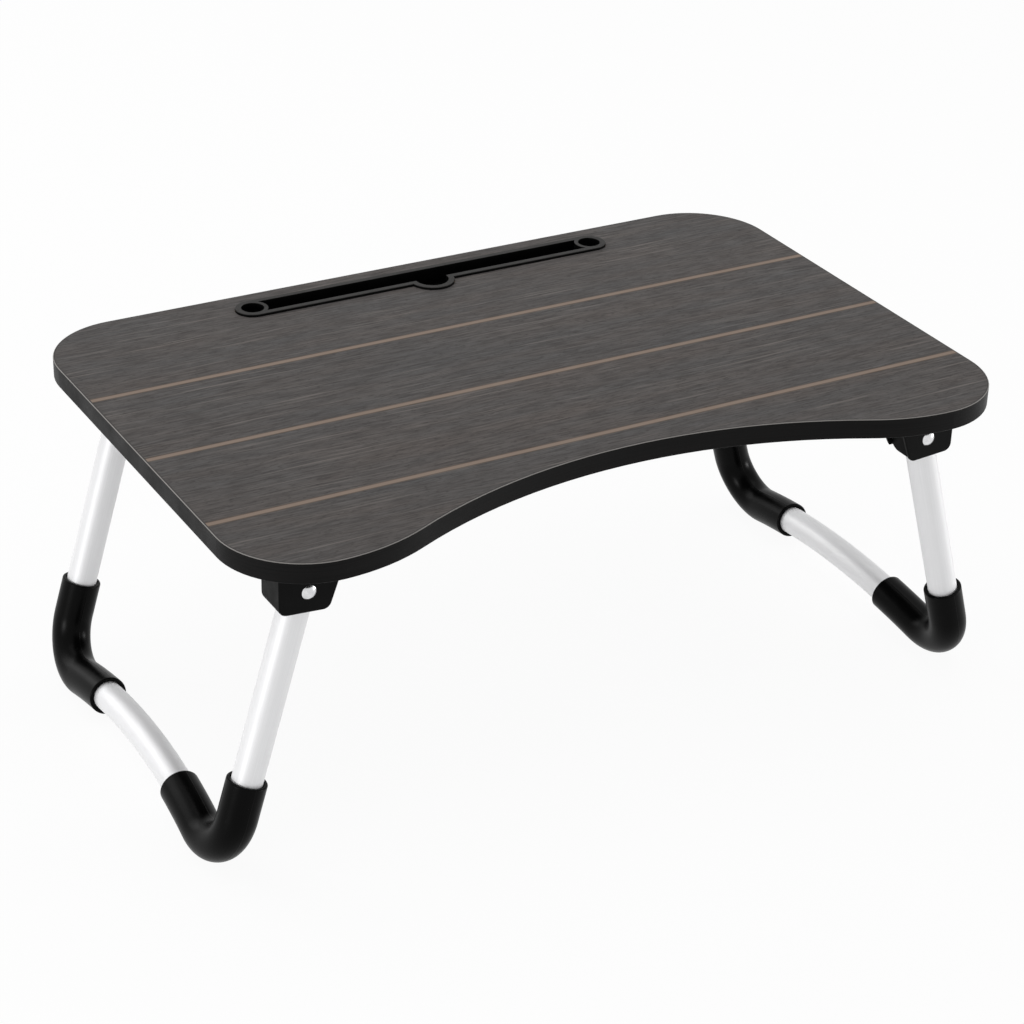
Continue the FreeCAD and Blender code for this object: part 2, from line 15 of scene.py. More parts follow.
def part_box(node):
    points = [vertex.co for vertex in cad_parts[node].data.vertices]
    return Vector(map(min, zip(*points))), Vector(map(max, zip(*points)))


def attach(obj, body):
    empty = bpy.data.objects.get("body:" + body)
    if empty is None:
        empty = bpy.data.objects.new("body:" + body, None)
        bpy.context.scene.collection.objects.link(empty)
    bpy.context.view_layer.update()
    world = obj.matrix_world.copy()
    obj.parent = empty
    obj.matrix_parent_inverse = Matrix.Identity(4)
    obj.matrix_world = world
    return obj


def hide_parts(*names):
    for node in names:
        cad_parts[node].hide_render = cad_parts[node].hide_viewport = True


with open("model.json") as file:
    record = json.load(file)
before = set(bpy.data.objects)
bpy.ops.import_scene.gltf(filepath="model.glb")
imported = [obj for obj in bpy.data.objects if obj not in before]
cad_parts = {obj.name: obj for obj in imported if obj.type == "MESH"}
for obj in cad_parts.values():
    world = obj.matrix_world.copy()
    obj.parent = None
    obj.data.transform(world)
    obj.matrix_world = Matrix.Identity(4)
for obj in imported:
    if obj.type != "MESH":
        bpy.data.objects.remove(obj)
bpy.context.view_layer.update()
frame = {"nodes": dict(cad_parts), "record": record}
NODES = frame["nodes"]
RECORD = frame["record"]
TOP_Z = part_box("top_laminate")[1].z
bpy.ops.object.select_all(action="DESELECT")
print("frame has", len(NODES), "nodes, and the worktop is at", round(TOP_Z, 4))

# %% [markdown]
# ## Camera
# The picture was taken from the front left with a long lens, looking down on the board at about 28 degrees.
# A camera can be turned by typed angles, but aiming it at a point on the worktop is easier to follow.
# The small roll is the tilt that the board's edges show in the picture.

# %% Place the camera
LENS_MM = 95.76
SENSOR_MM = 36.0
CAMERA_ABOVE_TOP = 0.8397
CAMERA_PLACE = Vector((-0.8916, -1.5402, TOP_Z + CAMERA_ABOVE_TOP))
CAMERA_AIM = Vector((-0.1149, -0.1924, TOP_Z))
CAMERA_ROLL = math.radians(1.69)
ROLL_AXIS = Vector((0, 0, 1))

camera_data = bpy.data.cameras.new("studio_camera")
camera_data.lens = LENS_MM
camera_data.sensor_width = SENSOR_MM
camera = bpy.data.objects.new("studio_camera", camera_data)
bpy.context.scene.collection.objects.link(camera)
camera.rotation_mode = "QUATERNION"
camera.location = CAMERA_PLACE
look = (CAMERA_AIM - CAMERA_PLACE).to_track_quat("-Z", "Y")
camera.rotation_quaternion = look @ Quaternion(ROLL_AXIS, CAMERA_ROLL)
bpy.context.scene.camera = camera
print("camera stands", round((CAMERA_AIM - CAMERA_PLACE).length, 3), "m from its aim")

# %% [markdown]
# ## Helpers for node trees
# Every finish below is a small tree of shader nodes. Adding a node, setting its inputs and linking it
# are three steps each time, so one function does them: a plain value is set, and a socket is linked.
# The sockets of a Mix node share their names between numbers and colours, so they are picked by number.

# %% Node helpers
MIX_SHARE = 0
MIX_FIRST = 6
MIX_SECOND = 7
MIX_RESULT = 2


def wire(tree, kind, inputs, **settings):
    """Adds a node. Each input is a plain value, or another node's output to link."""
    made = tree.nodes.new(kind)
    for name, value in settings.items():
        setattr(made, name, value)
    for name, value in inputs.items():
        if isinstance(value, bpy.types.NodeSocket):
            tree.links.new(value, made.inputs[name])
        else:
            made.inputs[name].default_value = value
    return made


def calc(tree, operation, first, second=0.0):
    """The result of a Math node."""
    return wire(tree, "ShaderNodeMath", {0: first, 1: second}, operation=operation).outputs[0]


def spread(tree, value, low, high, to_low=0.0, to_high=1.0):
    """A value stretched from one range to another, and held at the ends."""
    inputs = {"Value": value, "From Min": low, "From Max": high, "To Min": to_low, "To Max": to_high}
    return wire(tree, "ShaderNodeMapRange", inputs).outputs["Result"]


def blend(tree, share, first, second):
    """Two colours mixed by a share from 0 to 1."""
    inputs = {MIX_SHARE: share, MIX_FIRST: first, MIX_SECOND: second}
    return wire(tree, "ShaderNodeMix", inputs, data_type="RGBA").outputs[MIX_RESULT]


def axes_of(tree, place):
    """The X, Y and Z of a place, each as a socket of its own."""
    return wire(tree, "ShaderNodeSeparateXYZ", {0: place}).outputs


def joined_axes(tree, x, y, z):
    """A place put together from its X, Y and Z."""
    return wire(tree, "ShaderNodeCombineXYZ", {"X": x, "Y": y, "Z": z}).outputs[0]


print("node helpers ready")

# %% [markdown]
# ## Colours
# Colours are easiest to judge as they look on a screen, from 0 to 255, but shaders work with linear light.
# They could be typed in linear values, which nobody can read at a glance, so one function turns the first
# kind into the second by the standard screen curve: straight near black, and a power above that.

# %% Screen colours
SCREEN_FULL = 255
CURVE_KNEE = 0.04045
CURVE_SLOPE = 12.92
CURVE_OFFSET = 0.055
CURVE_POWER = 2.4


def linear_level(level):
    """One screen level in linear light."""
    share = level / SCREEN_FULL
    if share <= CURVE_KNEE:
        return share / CURVE_SLOPE
    return ((share + CURVE_OFFSET) / (1 + CURVE_OFFSET)) ** CURVE_POWER


def screen(red, green, blue):
    """A colour as it looks on a screen, 0 to 255, in a shader's linear values."""
    return (linear_level(red), linear_level(green), linear_level(blue), 1.0)


print("half grey on a screen is", round(linear_level(SCREEN_FULL / 2), 3), "in linear light")

# %% [markdown]
# ## Studio sky
# The picture has a pure white ground. Brighter lamps could give that too, but they would bleach the pale
# tubes. So the sky is white only to the camera, and in what the surfaces mirror, and it lights the table
# less than half as much. The lamps add the rest, at a level where a colour on the worktop looks about as
# it was mixed.

# %% White sky
SKY_AMBIENT = 0.38
WHITE = (1.0, 1.0, 1.0, 1.0)


def background_rays(tree):
    """A mask of the rays that see the white ground: from the camera, off gloss and through glass."""
    path = tree.nodes.new("ShaderNodeLightPath").outputs
    seen = calc(tree, "MAXIMUM", path["Is Camera Ray"], path["Is Glossy Ray"])
    return calc(tree, "MAXIMUM", seen, path["Is Transmission Ray"])


world = bpy.data.worlds.new("studio_sky")
bpy.context.scene.world = world
world.use_nodes = True
sky = world.node_tree
sky_background = sky.nodes["Background"]
sky_background.inputs["Color"].default_value = WHITE
sky_strength = spread(sky, background_rays(sky), 0.0, 1.0, SKY_AMBIENT, 1.0)
sky.links.new(sky_strength, sky_background.inputs["Strength"])
print("sky ambient", SKY_AMBIENT)

# %% [markdown]
# ## Floor
# The floor fades into the white sky in the same way, so that no horizon shows. A floor that only glows would
# lose the table's shadow, so a small share of what the camera sees stays an ordinary matt surface.

# %% White floor
FLOOR_SIZE = 14.0
FLOOR_SHADOW = 0.06
FLOOR_COLOUR = (0.97, 0.97, 0.97, 1.0)
ORIGIN = (0, 0, 0)

bpy.ops.mesh.primitive_plane_add(size=FLOOR_SIZE, location=ORIGIN)
floor = bpy.context.active_object
floor.name = "studio_floor"
floor_material = bpy.data.materials.new("studio_floor")
floor_material.use_nodes = True
floor_tree = floor_material.node_tree
floor_tree.nodes.remove(floor_tree.nodes["Principled BSDF"])
matt = wire(floor_tree, "ShaderNodeBsdfDiffuse", {"Color": FLOOR_COLOUR})
glow = wire(floor_tree, "ShaderNodeEmission", {"Color": WHITE, "Strength": 1.0})
share = calc(floor_tree, "MULTIPLY", background_rays(floor_tree), 1 - FLOOR_SHADOW)
mixed = wire(floor_tree, "ShaderNodeMixShader", {0: share, 1: matt.outputs[0], 2: glow.outputs[0]})
floor_tree.links.new(mixed.outputs[0], floor_tree.nodes["Material Output"].inputs["Surface"])
floor.data.materials.append(floor_material)
print("floor", FLOOR_SIZE, "m square")

# %% [markdown]
# ## Soft boxes
# A round tube shows its shape by a bright side and a duller one. So two small boxes stand far out to the
# left and the right, low down, where they light the tubes and only graze the worktop. A larger box behind
# draws the edges, and one overhead lights the board evenly. Point lamps would leave hard dots on the satin
# surfaces, and area lamps leave soft bands there, as real soft boxes do.

# %% Place the soft boxes
LIGHT_TARGET = Vector((0, 0, 0.15))
SOFT_BOXES = {
    "key_left": {"place": (-3.8, -1.1, 0.55), "width": 1.0, "height": 0.9, "watts": 54.0},
    "rim_left": {"place": (-1.6, 2.3, 1.5), "width": 1.8, "height": 1.8, "watts": 25.0},
    "fill_right": {"place": (3.4, -1.6, 0.35), "width": 1.0, "height": 0.6, "watts": 50.0},
    "overhead": {"place": (0.2, 0.3, 2.6), "width": 2.4, "height": 2.4, "watts": 22.0},
}

for box_name, box in SOFT_BOXES.items():
    lamp_data = bpy.data.lights.new(box_name, "AREA")
    lamp_data.shape = "RECTANGLE"
    lamp_data.size = box["width"]
    lamp_data.size_y = box["height"]
    lamp_data.energy = box["watts"]
    lamp = bpy.data.objects.new(box_name, lamp_data)
    bpy.context.scene.collection.objects.link(lamp)
    lamp.location = box["place"]
    lamp.rotation_mode = "QUATERNION"
    lamp.rotation_quaternion = (LIGHT_TARGET - Vector(box["place"])).to_track_quat("-Z", "Y")
    print(box_name, box["watts"], "W")

# %% [markdown]
# ## Shared surface effects
# Printed grain, drawn metal and extruded plastic all have streaks, moulded plastic and rubber have a
# fine grain, and nothing has quite the same gloss all over. The nodes could be repeated in every finish,
# but each effect is a node group with named inputs, made once and placed wherever it shows.

# %% Start of a node group
VECTOR = "NodeSocketVector"
NUMBER = "NodeSocketFloat"
# Noise seldom leaves this range, so stretching it to 0 and 1 uses all of a mix.
NOISE_LOW = 0.3
NOISE_HIGH = 0.7


def start_group(name, inputs, output):
    """A shader node group with named inputs and one value as its output."""
    group = bpy.data.node_groups.new(name, "ShaderNodeTree")
    for label, kind in inputs.items():
        group.interface.new_socket(label, in_out="INPUT", socket_type=kind)
    group.interface.new_socket(output, in_out="OUTPUT", socket_type=NUMBER)
    entry = group.nodes.new("NodeGroupInput")
    leave = group.nodes.new("NodeGroupOutput")
    return group, entry.outputs, leave.inputs[output]


print("noise is stretched from", NOISE_LOW, "and", NOISE_HIGH, "to 0 and 1")

# %% [markdown]
# ## Drawn streaks
# A streak is noise that changes fast across and slowly along. Wood, metal and plastic could each have a
# texture of their own, but multiplying the place by other repeats on each axis stretches one kind of noise
# into fibres, die lines or round clouds, so one group serves them all.

# %% Streaks
STREAK_DETAIL = 3.0
STREAK_ROUGHNESS = 0.55

streaks_group, streaks_in, streaks_out = start_group(
    "drawn_streaks", {"Vector": VECTOR, "Repeats per Metre": VECTOR}, "Streaks")
stretched = wire(streaks_group, "ShaderNodeVectorMath",
                 {0: streaks_in["Vector"], 1: streaks_in["Repeats per Metre"]}, operation="MULTIPLY")
streak_noise = wire(streaks_group, "ShaderNodeTexNoise",
                    {"Vector": stretched.outputs[0], "Scale": 1.0, "Detail": STREAK_DETAIL,
                     "Roughness": STREAK_ROUGHNESS})
streaks_group.links.new(spread(streaks_group, streak_noise.outputs[0], NOISE_LOW, NOISE_HIGH), streaks_out)


def streaks(tree, place, repeats):
    """Streaks from 0 to 1, drawn out along the axes with few repeats per metre."""
    inputs = {"Vector": place, "Repeats per Metre": repeats}
    return wire(tree, "ShaderNodeGroup", inputs, node_tree=streaks_group).outputs[0]


print("streaks have", STREAK_DETAIL, "layers of detail")

# %% [markdown]
# ## Uneven gloss
# Hands, dust and the mould itself leave patches that shine a little more or less. A painted map could say
# where, but no patch matters by itself, so soft noise between two levels of roughness is enough.

# %% Gloss
GLOSS_DETAIL = 4.0

gloss_group, gloss_in, gloss_out = start_group(
    "uneven_gloss",
    {"Vector": VECTOR, "Patches per Metre": NUMBER, "Glossy": NUMBER, "Matt": NUMBER},
    "Roughness")
gloss_noise = wire(gloss_group, "ShaderNodeTexNoise",
                   {"Vector": gloss_in["Vector"], "Scale": gloss_in["Patches per Metre"],
                    "Detail": GLOSS_DETAIL})
gloss_level = spread(gloss_group, gloss_noise.outputs[0], NOISE_LOW, NOISE_HIGH,
                     gloss_in["Glossy"], gloss_in["Matt"])
gloss_group.links.new(gloss_level, gloss_out)


def uneven_gloss(tree, shader, place, gloss):
    """Roughness that wanders between its Glossy and its Matt level in soft patches."""
    made = wire(tree, "ShaderNodeGroup", {"Vector": place, **gloss}, node_tree=gloss_group)
    tree.links.new(made.outputs[0], shader.inputs["Roughness"])


print("gloss has", GLOSS_DETAIL, "layers of detail")

# %% [markdown]
# ## Moulded grain
# Moulds for black plastic and rubber are often spark-eroded, which leaves round pits with finer specks
# between them. Modelled pits would take millions of faces, so Voronoi cells and noise make a height, and
# a bump shows it. The same height also tints the surface a little, because the pits hold less light.

# %% Grain
PIT_SHARE = 0.6
FINER = 2.7
GRAIN_LOW = 0.2
GRAIN_HIGH = 0.7

grain_group, grain_in, grain_out = start_group(
    "moulded_grain", {"Vector": VECTOR, "Pits per Metre": NUMBER}, "Height")
pits = wire(grain_group, "ShaderNodeTexVoronoi",
            {"Vector": grain_in["Vector"], "Scale": grain_in["Pits per Metre"]})
speck_scale = calc(grain_group, "MULTIPLY", grain_in["Pits per Metre"], FINER)
specks = wire(grain_group, "ShaderNodeTexNoise", {"Vector": grain_in["Vector"], "Scale": speck_scale})
pit_part = calc(grain_group, "MULTIPLY", pits.outputs["Distance"], PIT_SHARE)
speck_part = calc(grain_group, "MULTIPLY", specks.outputs[0], 1 - PIT_SHARE)
grain_group.links.new(calc(grain_group, "ADD", pit_part, speck_part), grain_out)


def moulded_grain(tree, place, pits_per_metre):
    """The height of a fine spark-eroded mould texture."""
    inputs = {"Vector": place, "Pits per Metre": pits_per_metre}
    return wire(tree, "ShaderNodeGroup", inputs, node_tree=grain_group).outputs[0]


def grain_tone(tree, grain, least=0.0):
    """The grain's height as a share for a mix, from the least up to 1."""
    return spread(tree, grain, GRAIN_LOW, GRAIN_HIGH, least, 1.0)


print("specks are", FINER, "times finer than the pits")

# %% [markdown]
# ## Start of a finish
# Each finish starts from the Principled shader, which already knows how plastic, rubber and metal answer
# light. Its one level of shine is the same all over, so it is set on the shader itself. Patterns read Object
# coordinates, which are metres here and stay with the piece when a leg folds. One function then hands a
# finish to every CAD node whose slot in the record asks for it, so no node can be forgotten.


# %% Finish helpers
def start_material(name, shine):
    """A fresh material, its node tree, its Principled shader and its Object coordinates."""
    material = bpy.data.materials.new(name + "_finish")
    material.use_nodes = True
    tree = material.node_tree
    shader = tree.nodes["Principled BSDF"]
    shader.inputs["Specular IOR Level"].default_value = shine
    coordinates = tree.nodes.new("ShaderNodeTexCoord")
    return material, tree, shader, coordinates.outputs["Object"]


def paint(tree, shader, colour):
    """Links a colour to the shader."""
    tree.links.new(colour, shader.inputs["Base Color"])


def emboss(tree, shader, height, depth):
    """Bumps of a real depth in metres, from a height of 0 to 1."""
    bump = wire(tree, "ShaderNodeBump", {"Height": height, "Distance": depth})
    tree.links.new(bump.outputs[0], shader.inputs["Normal"])


def dress(slot, material):
    """Gives a finish to every CAD node that has this slot in the record."""
    dressed = 0
    for row in RECORD["subparts"]:
        if row["material_slot"] == slot:
            mesh = NODES[row["node"]].data
            mesh.materials.clear()
            mesh.materials.append(material)
            dressed += 1
    print(slot, "on", dressed, "nodes")


print(len(RECORD["materials"]), "slots wait for a finish")

# %% [markdown]
# ## Wood-grain planks
# The top sheet is printed paper under matt melamine: dark planks along the board, with a thin tan line
# between them. A picture of wood could be mapped on it, but noise drawn out along X gives grain that stays
# sharp close up. Every plank shifts the noise, so that the grain breaks at the lines as on real boards.

# %% Planks and their grain
PLANK_WIDTH = 0.1
PLANK_EDGE_Y = 0.0795
PLANK_SHIFT = 0.37
GRAIN_WAVE = 0.006
WAVE_REPEATS = (3.0, 9.0, 3.0)


def plank_grain(tree, place):
    """How many planks away the first line is, and a place in the grain that jumps at every line."""
    axes = axes_of(tree, place)
    planks = calc(tree, "DIVIDE", calc(tree, "SUBTRACT", axes["Y"], PLANK_EDGE_Y), PLANK_WIDTH)
    shift = calc(tree, "MULTIPLY", calc(tree, "FLOOR", planks), PLANK_SHIFT)
    along = calc(tree, "ADD", axes["X"], shift)
    straight = joined_axes(tree, along, axes["Y"], shift)
    wave = spread(tree, streaks(tree, straight, WAVE_REPEATS), 0.0, 1.0, -GRAIN_WAVE / 2, GRAIN_WAVE / 2)
    across = calc(tree, "ADD", axes["Y"], wave)
    return planks, joined_axes(tree, along, across, shift)


print("planks", PLANK_WIDTH, "m wide")

# %% [markdown]
# ## Tan lines
# The lines are part of the print, so they lie level in the sheet and need no geometry. The distance to the
# nearest plank edge gives a mask with soft sides, and a second, wider mask gives the brown fringe that the
# print has along them. The rearmost plank runs to the board's edge with no line behind it.

# %% Line masks
LINE_HALF_WIDTH = 0.0016
LINE_SOFTNESS = 0.0008
LINE_SHADE_REACH = 0.0036
LAST_LINE_PLANKS = 0.5


def line_masks(tree, planks):
    """Masks of the tan line at each plank edge, and of the brown print close beside it."""
    off_line = calc(tree, "ABSOLUTE", calc(tree, "SUBTRACT", planks, calc(tree, "ROUND", planks)))
    distance = calc(tree, "MULTIPLY", off_line, PLANK_WIDTH)
    in_front = calc(tree, "LESS_THAN", planks, LAST_LINE_PLANKS)
    line = spread(tree, distance, LINE_HALF_WIDTH, LINE_HALF_WIDTH + LINE_SOFTNESS, 1.0, 0.0)
    beside = spread(tree, distance, LINE_HALF_WIDTH, LINE_SHADE_REACH, 1.0, 0.0)
    return calc(tree, "MULTIPLY", line, in_front), calc(tree, "MULTIPLY", beside, in_front)


print("tan lines", 2 * LINE_HALF_WIDTH, "m wide")

# %% [markdown]
# ## Wood-grain finish
# Streaks of four sizes build the print: broad patches of cooler and warmer grey, dark fibres, short pores
# and long pale hairs. One noise with more detail would look the same at every size, while wood has each of
# these at its own length. The lines go on last, over the grain.

# %% Wood colours and streaks
WOOD_COOL = screen(90, 89, 89)
WOOD_WARM = screen(97, 91, 88)
WOOD_DARK = screen(55, 52, 51)
WOOD_PORE = screen(48, 45, 44)
WOOD_LIGHT = screen(128, 122, 117)
LINE_TAN = screen(140, 124, 112)
LINE_BROWN = screen(98, 80, 64)
TONE_REPEATS = (6.0, 40.0, 6.0)
FIBRE_REPEATS = (55.0, 540.0, 55.0)
HAIR_REPEATS = (8.0, 430.0, 8.0)
PORE_REPEATS = (210.0, 700.0, 210.0)
FIBRE_SHARE = 0.76
HAIR_START = 0.7
HAIR_SHARE = 0.5
PORE_END = 0.36
PORE_SHARE = 0.6
LINE_SHADE_SHARE = 0.8
LINE_SHARE = 0.95
print("fibres are", round(1 / FIBRE_REPEATS[1], 5), "m wide and", round(1 / FIBRE_REPEATS[0], 3), "m long")

# %% Wood-grain laminate
WOOD_SHINE = 0.1
WOOD_GLOSS = {"Patches per Metre": 60.0, "Glossy": 0.52, "Matt": 0.66}
PRINT_DEPTH = 0.00002


def wood_grain_laminate():
    """The printed sheet on top of the board."""
    material, tree, shader, place = start_material("wood_grain_laminate", WOOD_SHINE)
    planks, grain = plank_grain(tree, place)
    fibres = streaks(tree, grain, FIBRE_REPEATS)
    colour = blend(tree, streaks(tree, grain, TONE_REPEATS), WOOD_COOL, WOOD_WARM)
    colour = blend(tree, spread(tree, fibres, 0.0, 1.0, FIBRE_SHARE, 0.0), colour, WOOD_DARK)
    pores = spread(tree, streaks(tree, grain, PORE_REPEATS), 0.0, PORE_END, PORE_SHARE, 0.0)
    colour = blend(tree, pores, colour, WOOD_PORE)
    hairs = spread(tree, streaks(tree, grain, HAIR_REPEATS), HAIR_START, 1.0, 0.0, HAIR_SHARE)
    colour = blend(tree, hairs, colour, WOOD_LIGHT)
    line, beside = line_masks(tree, planks)
    colour = blend(tree, calc(tree, "MULTIPLY", beside, LINE_SHADE_SHARE), colour, LINE_BROWN)
    colour = blend(tree, calc(tree, "MULTIPLY", line, LINE_SHARE), colour, LINE_TAN)
    paint(tree, shader, colour)
    uneven_gloss(tree, shader, place, WOOD_GLOSS)
    emboss(tree, shader, fibres, PRINT_DEPTH)
    return material


dress("wood_grain_laminate", wood_grain_laminate())

# %% [markdown]
# ## Edge band
# A strip of satin black plastic is glued round the rim, and its upper edge is trimmed flush, with a thin
# pale line along it that is a painted highlight. The extruder's die draws faint lines along the strip. They
# lie level all round the board, so noise with many repeats along Z makes them, and the highlight is picked
# out by height.
# The strip's two ends meet at the back of the board, in a seam half a millimetre wide.

# %% Edge band colours and places
BAND_BLACK = screen(14, 14, 14)
BAND_WORN = screen(23, 22, 22)
# The pale colour here is a painted highlight along the band's rounded upper edge.
BAND_HIGHLIGHT = screen(140, 137, 134)
BAND_CUT = screen(66, 64, 63)
SEAM_BLACK = screen(2, 2, 2)
BAND_REPEATS = (12.0, 12.0, 2600.0)
HIGHLIGHT_START_Z = TOP_Z - 0.0006
HIGHLIGHT_FULL_Z = TOP_Z - 0.0004
HIGHLIGHT_FADE_Z = TOP_Z - 0.00008
HIGHLIGHT_END_Z = TOP_Z - 0.00002
SEAM_X = 0.14
SEAM_HALF_WIDTH = 0.00025
SEAM_SIDE_Y = 0.19
print("scraped line is", round(HIGHLIGHT_END_Z - HIGHLIGHT_START_Z, 5), "m high")

# %% Edge band finish
BAND_SHINE = 0.06
BAND_GLOSS = {"Patches per Metre": 45.0, "Glossy": 0.38, "Matt": 0.52}
BAND_LINE_DEPTH = 0.00003


def edge_band_plastic():
    """The strip round the rim of the board."""
    material, tree, shader, place = start_material("edge_band_plastic", BAND_SHINE)
    axes = axes_of(tree, place)
    lines = streaks(tree, place, BAND_REPEATS)
    colour = blend(tree, lines, BAND_BLACK, BAND_WORN)
    # The pale line on the band's rounded upper edge is a painted highlight, placed by height.
    painted_highlight = spread(tree, axes["Z"], HIGHLIGHT_START_Z, HIGHLIGHT_FULL_Z)
    colour = blend(tree, painted_highlight, colour, BAND_HIGHLIGHT)
    cut_flush = spread(tree, axes["Z"], HIGHLIGHT_FADE_Z, HIGHLIGHT_END_Z)
    colour = blend(tree, cut_flush, colour, BAND_CUT)
    off_seam = calc(tree, "ABSOLUTE", calc(tree, "SUBTRACT", axes["X"], SEAM_X))
    seam = calc(tree, "LESS_THAN", off_seam, SEAM_HALF_WIDTH)
    seam = calc(tree, "MULTIPLY", seam, calc(tree, "GREATER_THAN", axes["Y"], SEAM_SIDE_Y))
    colour = blend(tree, seam, colour, SEAM_BLACK)
    paint(tree, shader, colour)
    uneven_gloss(tree, shader, place, BAND_GLOSS)
    emboss(tree, shader, calc(tree, "SUBTRACT", lines, seam), BAND_LINE_DEPTH)
    return material


dress("edge_band_plastic", edge_band_plastic())

# %% [markdown]
# ## Slot tray
# The tray is a black moulding let into the board. The crest of its lip is painted grey as a highlight, while
# its walls and floor stay black. A separate pale strip could lie on the lip, but a painted highlight needs
# no geometry, so the crest is picked out by its height, and the grain breaks the grey up a little.

# %% Tray finish
MOULD_DEPTH = 0.00004
TRAY_BLACK = screen(3, 3, 3)
TRAY_PALE = screen(8, 8, 8)
# The grey of the painted highlight on the lip's crest.
TRAY_CREST_HIGHLIGHT = screen(56, 55, 54)
TRAY_SHINE = 0.05
TRAY_GLOSS = {"Patches per Metre": 80.0, "Glossy": 0.36, "Matt": 0.48}
TRAY_PITS = 1600.0
LIP_TOP_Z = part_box("slot_tray")[1].z
CREST_START_Z = LIP_TOP_Z - 0.0005
CREST_FULL_Z = LIP_TOP_Z - 0.0001
CREST_LEAST = 0.7


def tray_plastic():
    """The black tray, with a painted highlight on the crest of its lip."""
    material, tree, shader, place = start_material("tray_plastic", TRAY_SHINE)
    grain = moulded_grain(tree, place, TRAY_PITS)
    colour = blend(tree, grain_tone(tree, grain), TRAY_BLACK, TRAY_PALE)
    # The grey on the lip's crest is a painted highlight, picked out by height.
    crest_highlight = spread(tree, axes_of(tree, place)["Z"], CREST_START_Z, CREST_FULL_Z)
    crest_highlight = calc(tree, "MULTIPLY", crest_highlight, grain_tone(tree, grain, CREST_LEAST))
    paint(tree, shader, blend(tree, crest_highlight, colour, TRAY_CREST_HIGHLIGHT))
    uneven_gloss(tree, shader, place, TRAY_GLOSS)
    emboss(tree, shader, grain, MOULD_DEPTH)
    return material


dress("tray_plastic", tray_plastic())

# %% [markdown]
# ## Hinge brackets and tube plugs
# Both are moulded in black plastic, so one function makes the two finishes from the shared effects. As the
# plastic flows into the mould it leaves faint paler streaks. The plugs shine less, and their colour is
# darkened with painted shade, because the mouth of the bracket, where they show, lies in shade and looks
# black in the picture.

# %% Moulded plastics
FLOW_REPEATS = (30.0, 30.0, 60.0)
MOULDED_LOOKS = {
    "bracket_plastic": {
        "dark": screen(5, 5, 5), "pale": screen(12, 12, 12), "shine": 0.065, "pits_per_metre": 1300.0,
        "gloss": {"Patches per Metre": 80.0, "Glossy": 0.44, "Matt": 0.58}},
    # The plugs' darker colours are painted shade from the bracket's mouth.
    "plug_plastic": {
        "dark": screen(4, 4, 4), "pale": screen(8, 8, 8), "shine": 0.015, "pits_per_metre": 2200.0,
        "gloss": {"Patches per Metre": 80.0, "Glossy": 0.40, "Matt": 0.50}},
}


def moulded_plastic(name, dark, pale, shine, pits_per_metre, gloss):
    """Black plastic with mould grain and faint flow streaks."""
    material, tree, shader, place = start_material(name, shine)
    grain = moulded_grain(tree, place, pits_per_metre)
    flow = streaks(tree, place, FLOW_REPEATS)
    tone = calc(tree, "MULTIPLY", flow, grain_tone(tree, grain))
    paint(tree, shader, blend(tree, tone, dark, pale))
    uneven_gloss(tree, shader, place, gloss)
    emboss(tree, shader, grain, MOULD_DEPTH)
    return material


for slot_name, slot_look in MOULDED_LOOKS.items():
    dress(slot_name, moulded_plastic(slot_name, **slot_look))

# %% [markdown]
# ## Leg axes
# The legs lean outwards, so streaks along Z would cross the tube at a slant. Each leg has its own axes
# instead: along the leg, along the board's depth, and square to both. The left leg is the right one's
# mirror image, so the same axes serve both once X has lost its sign. A leg folds through its splay and a
# right angle more, so the splay comes from the joint's range.

# %% Axes along the legs
RIGHT_ANGLE = 90
leg_joint = RECORD["behaviour"]["joints"][0]
PIVOT = Vector((abs(leg_joint["pos_m"][0]), 0, leg_joint["pos_m"][2]))
SPLAY = math.radians(leg_joint["range_deg"][1] - RIGHT_ANGLE)


def leg_axes(tree, place):
    """A place in the leg's own axes: X square to the leg, Y as before, Z down along the leg."""
    axes = axes_of(tree, place)
    out = calc(tree, "SUBTRACT", calc(tree, "ABSOLUTE", axes["X"]), PIVOT.x)
    down = calc(tree, "SUBTRACT", PIVOT.z, axes["Z"])
    across = calc(tree, "SUBTRACT", calc(tree, "MULTIPLY", out, math.cos(SPLAY)),
                  calc(tree, "MULTIPLY", down, math.sin(SPLAY)))
    along = calc(tree, "ADD", calc(tree, "MULTIPLY", out, math.sin(SPLAY)),
                 calc(tree, "MULTIPLY", down, math.cos(SPLAY)))
    return joined_axes(tree, across, axes["Y"], along)


print("pivot at", [round(value, 4) for value in PIVOT])
print("splay", round(math.degrees(SPLAY), 1), "degrees")

# %% [markdown]
# ## Aluminium tubes
# The tubes are drawn through a die, so fine lines run along them, and a satin anodised coat softens their
# shine. A full metal would mirror the white studio and lose its form, so the shader is only partly metal.
# On the uprights the lines run down the leg, and on the arched bar along the board's depth. The change
# between the two lies in the bends, where the rubber sleeves hide it.

# %% Tube finish
TUBE_PALE = screen(237, 237, 238)
TUBE_DULL = screen(230, 230, 231)
TUBE_METAL = 0.3
METAL_SHINE = 0.5
TUBE_GLOSS = {"Patches per Metre": 35.0, "Glossy": 0.46, "Matt": 0.56}
UPRIGHT_REPEATS = (2600.0, 2600.0, 9.0)
BAR_REPEATS = (2600.0, 9.0, 2600.0)
BAR_START = 0.180
BAR_FULL = 0.186
DRAW_DEPTH = 0.000002


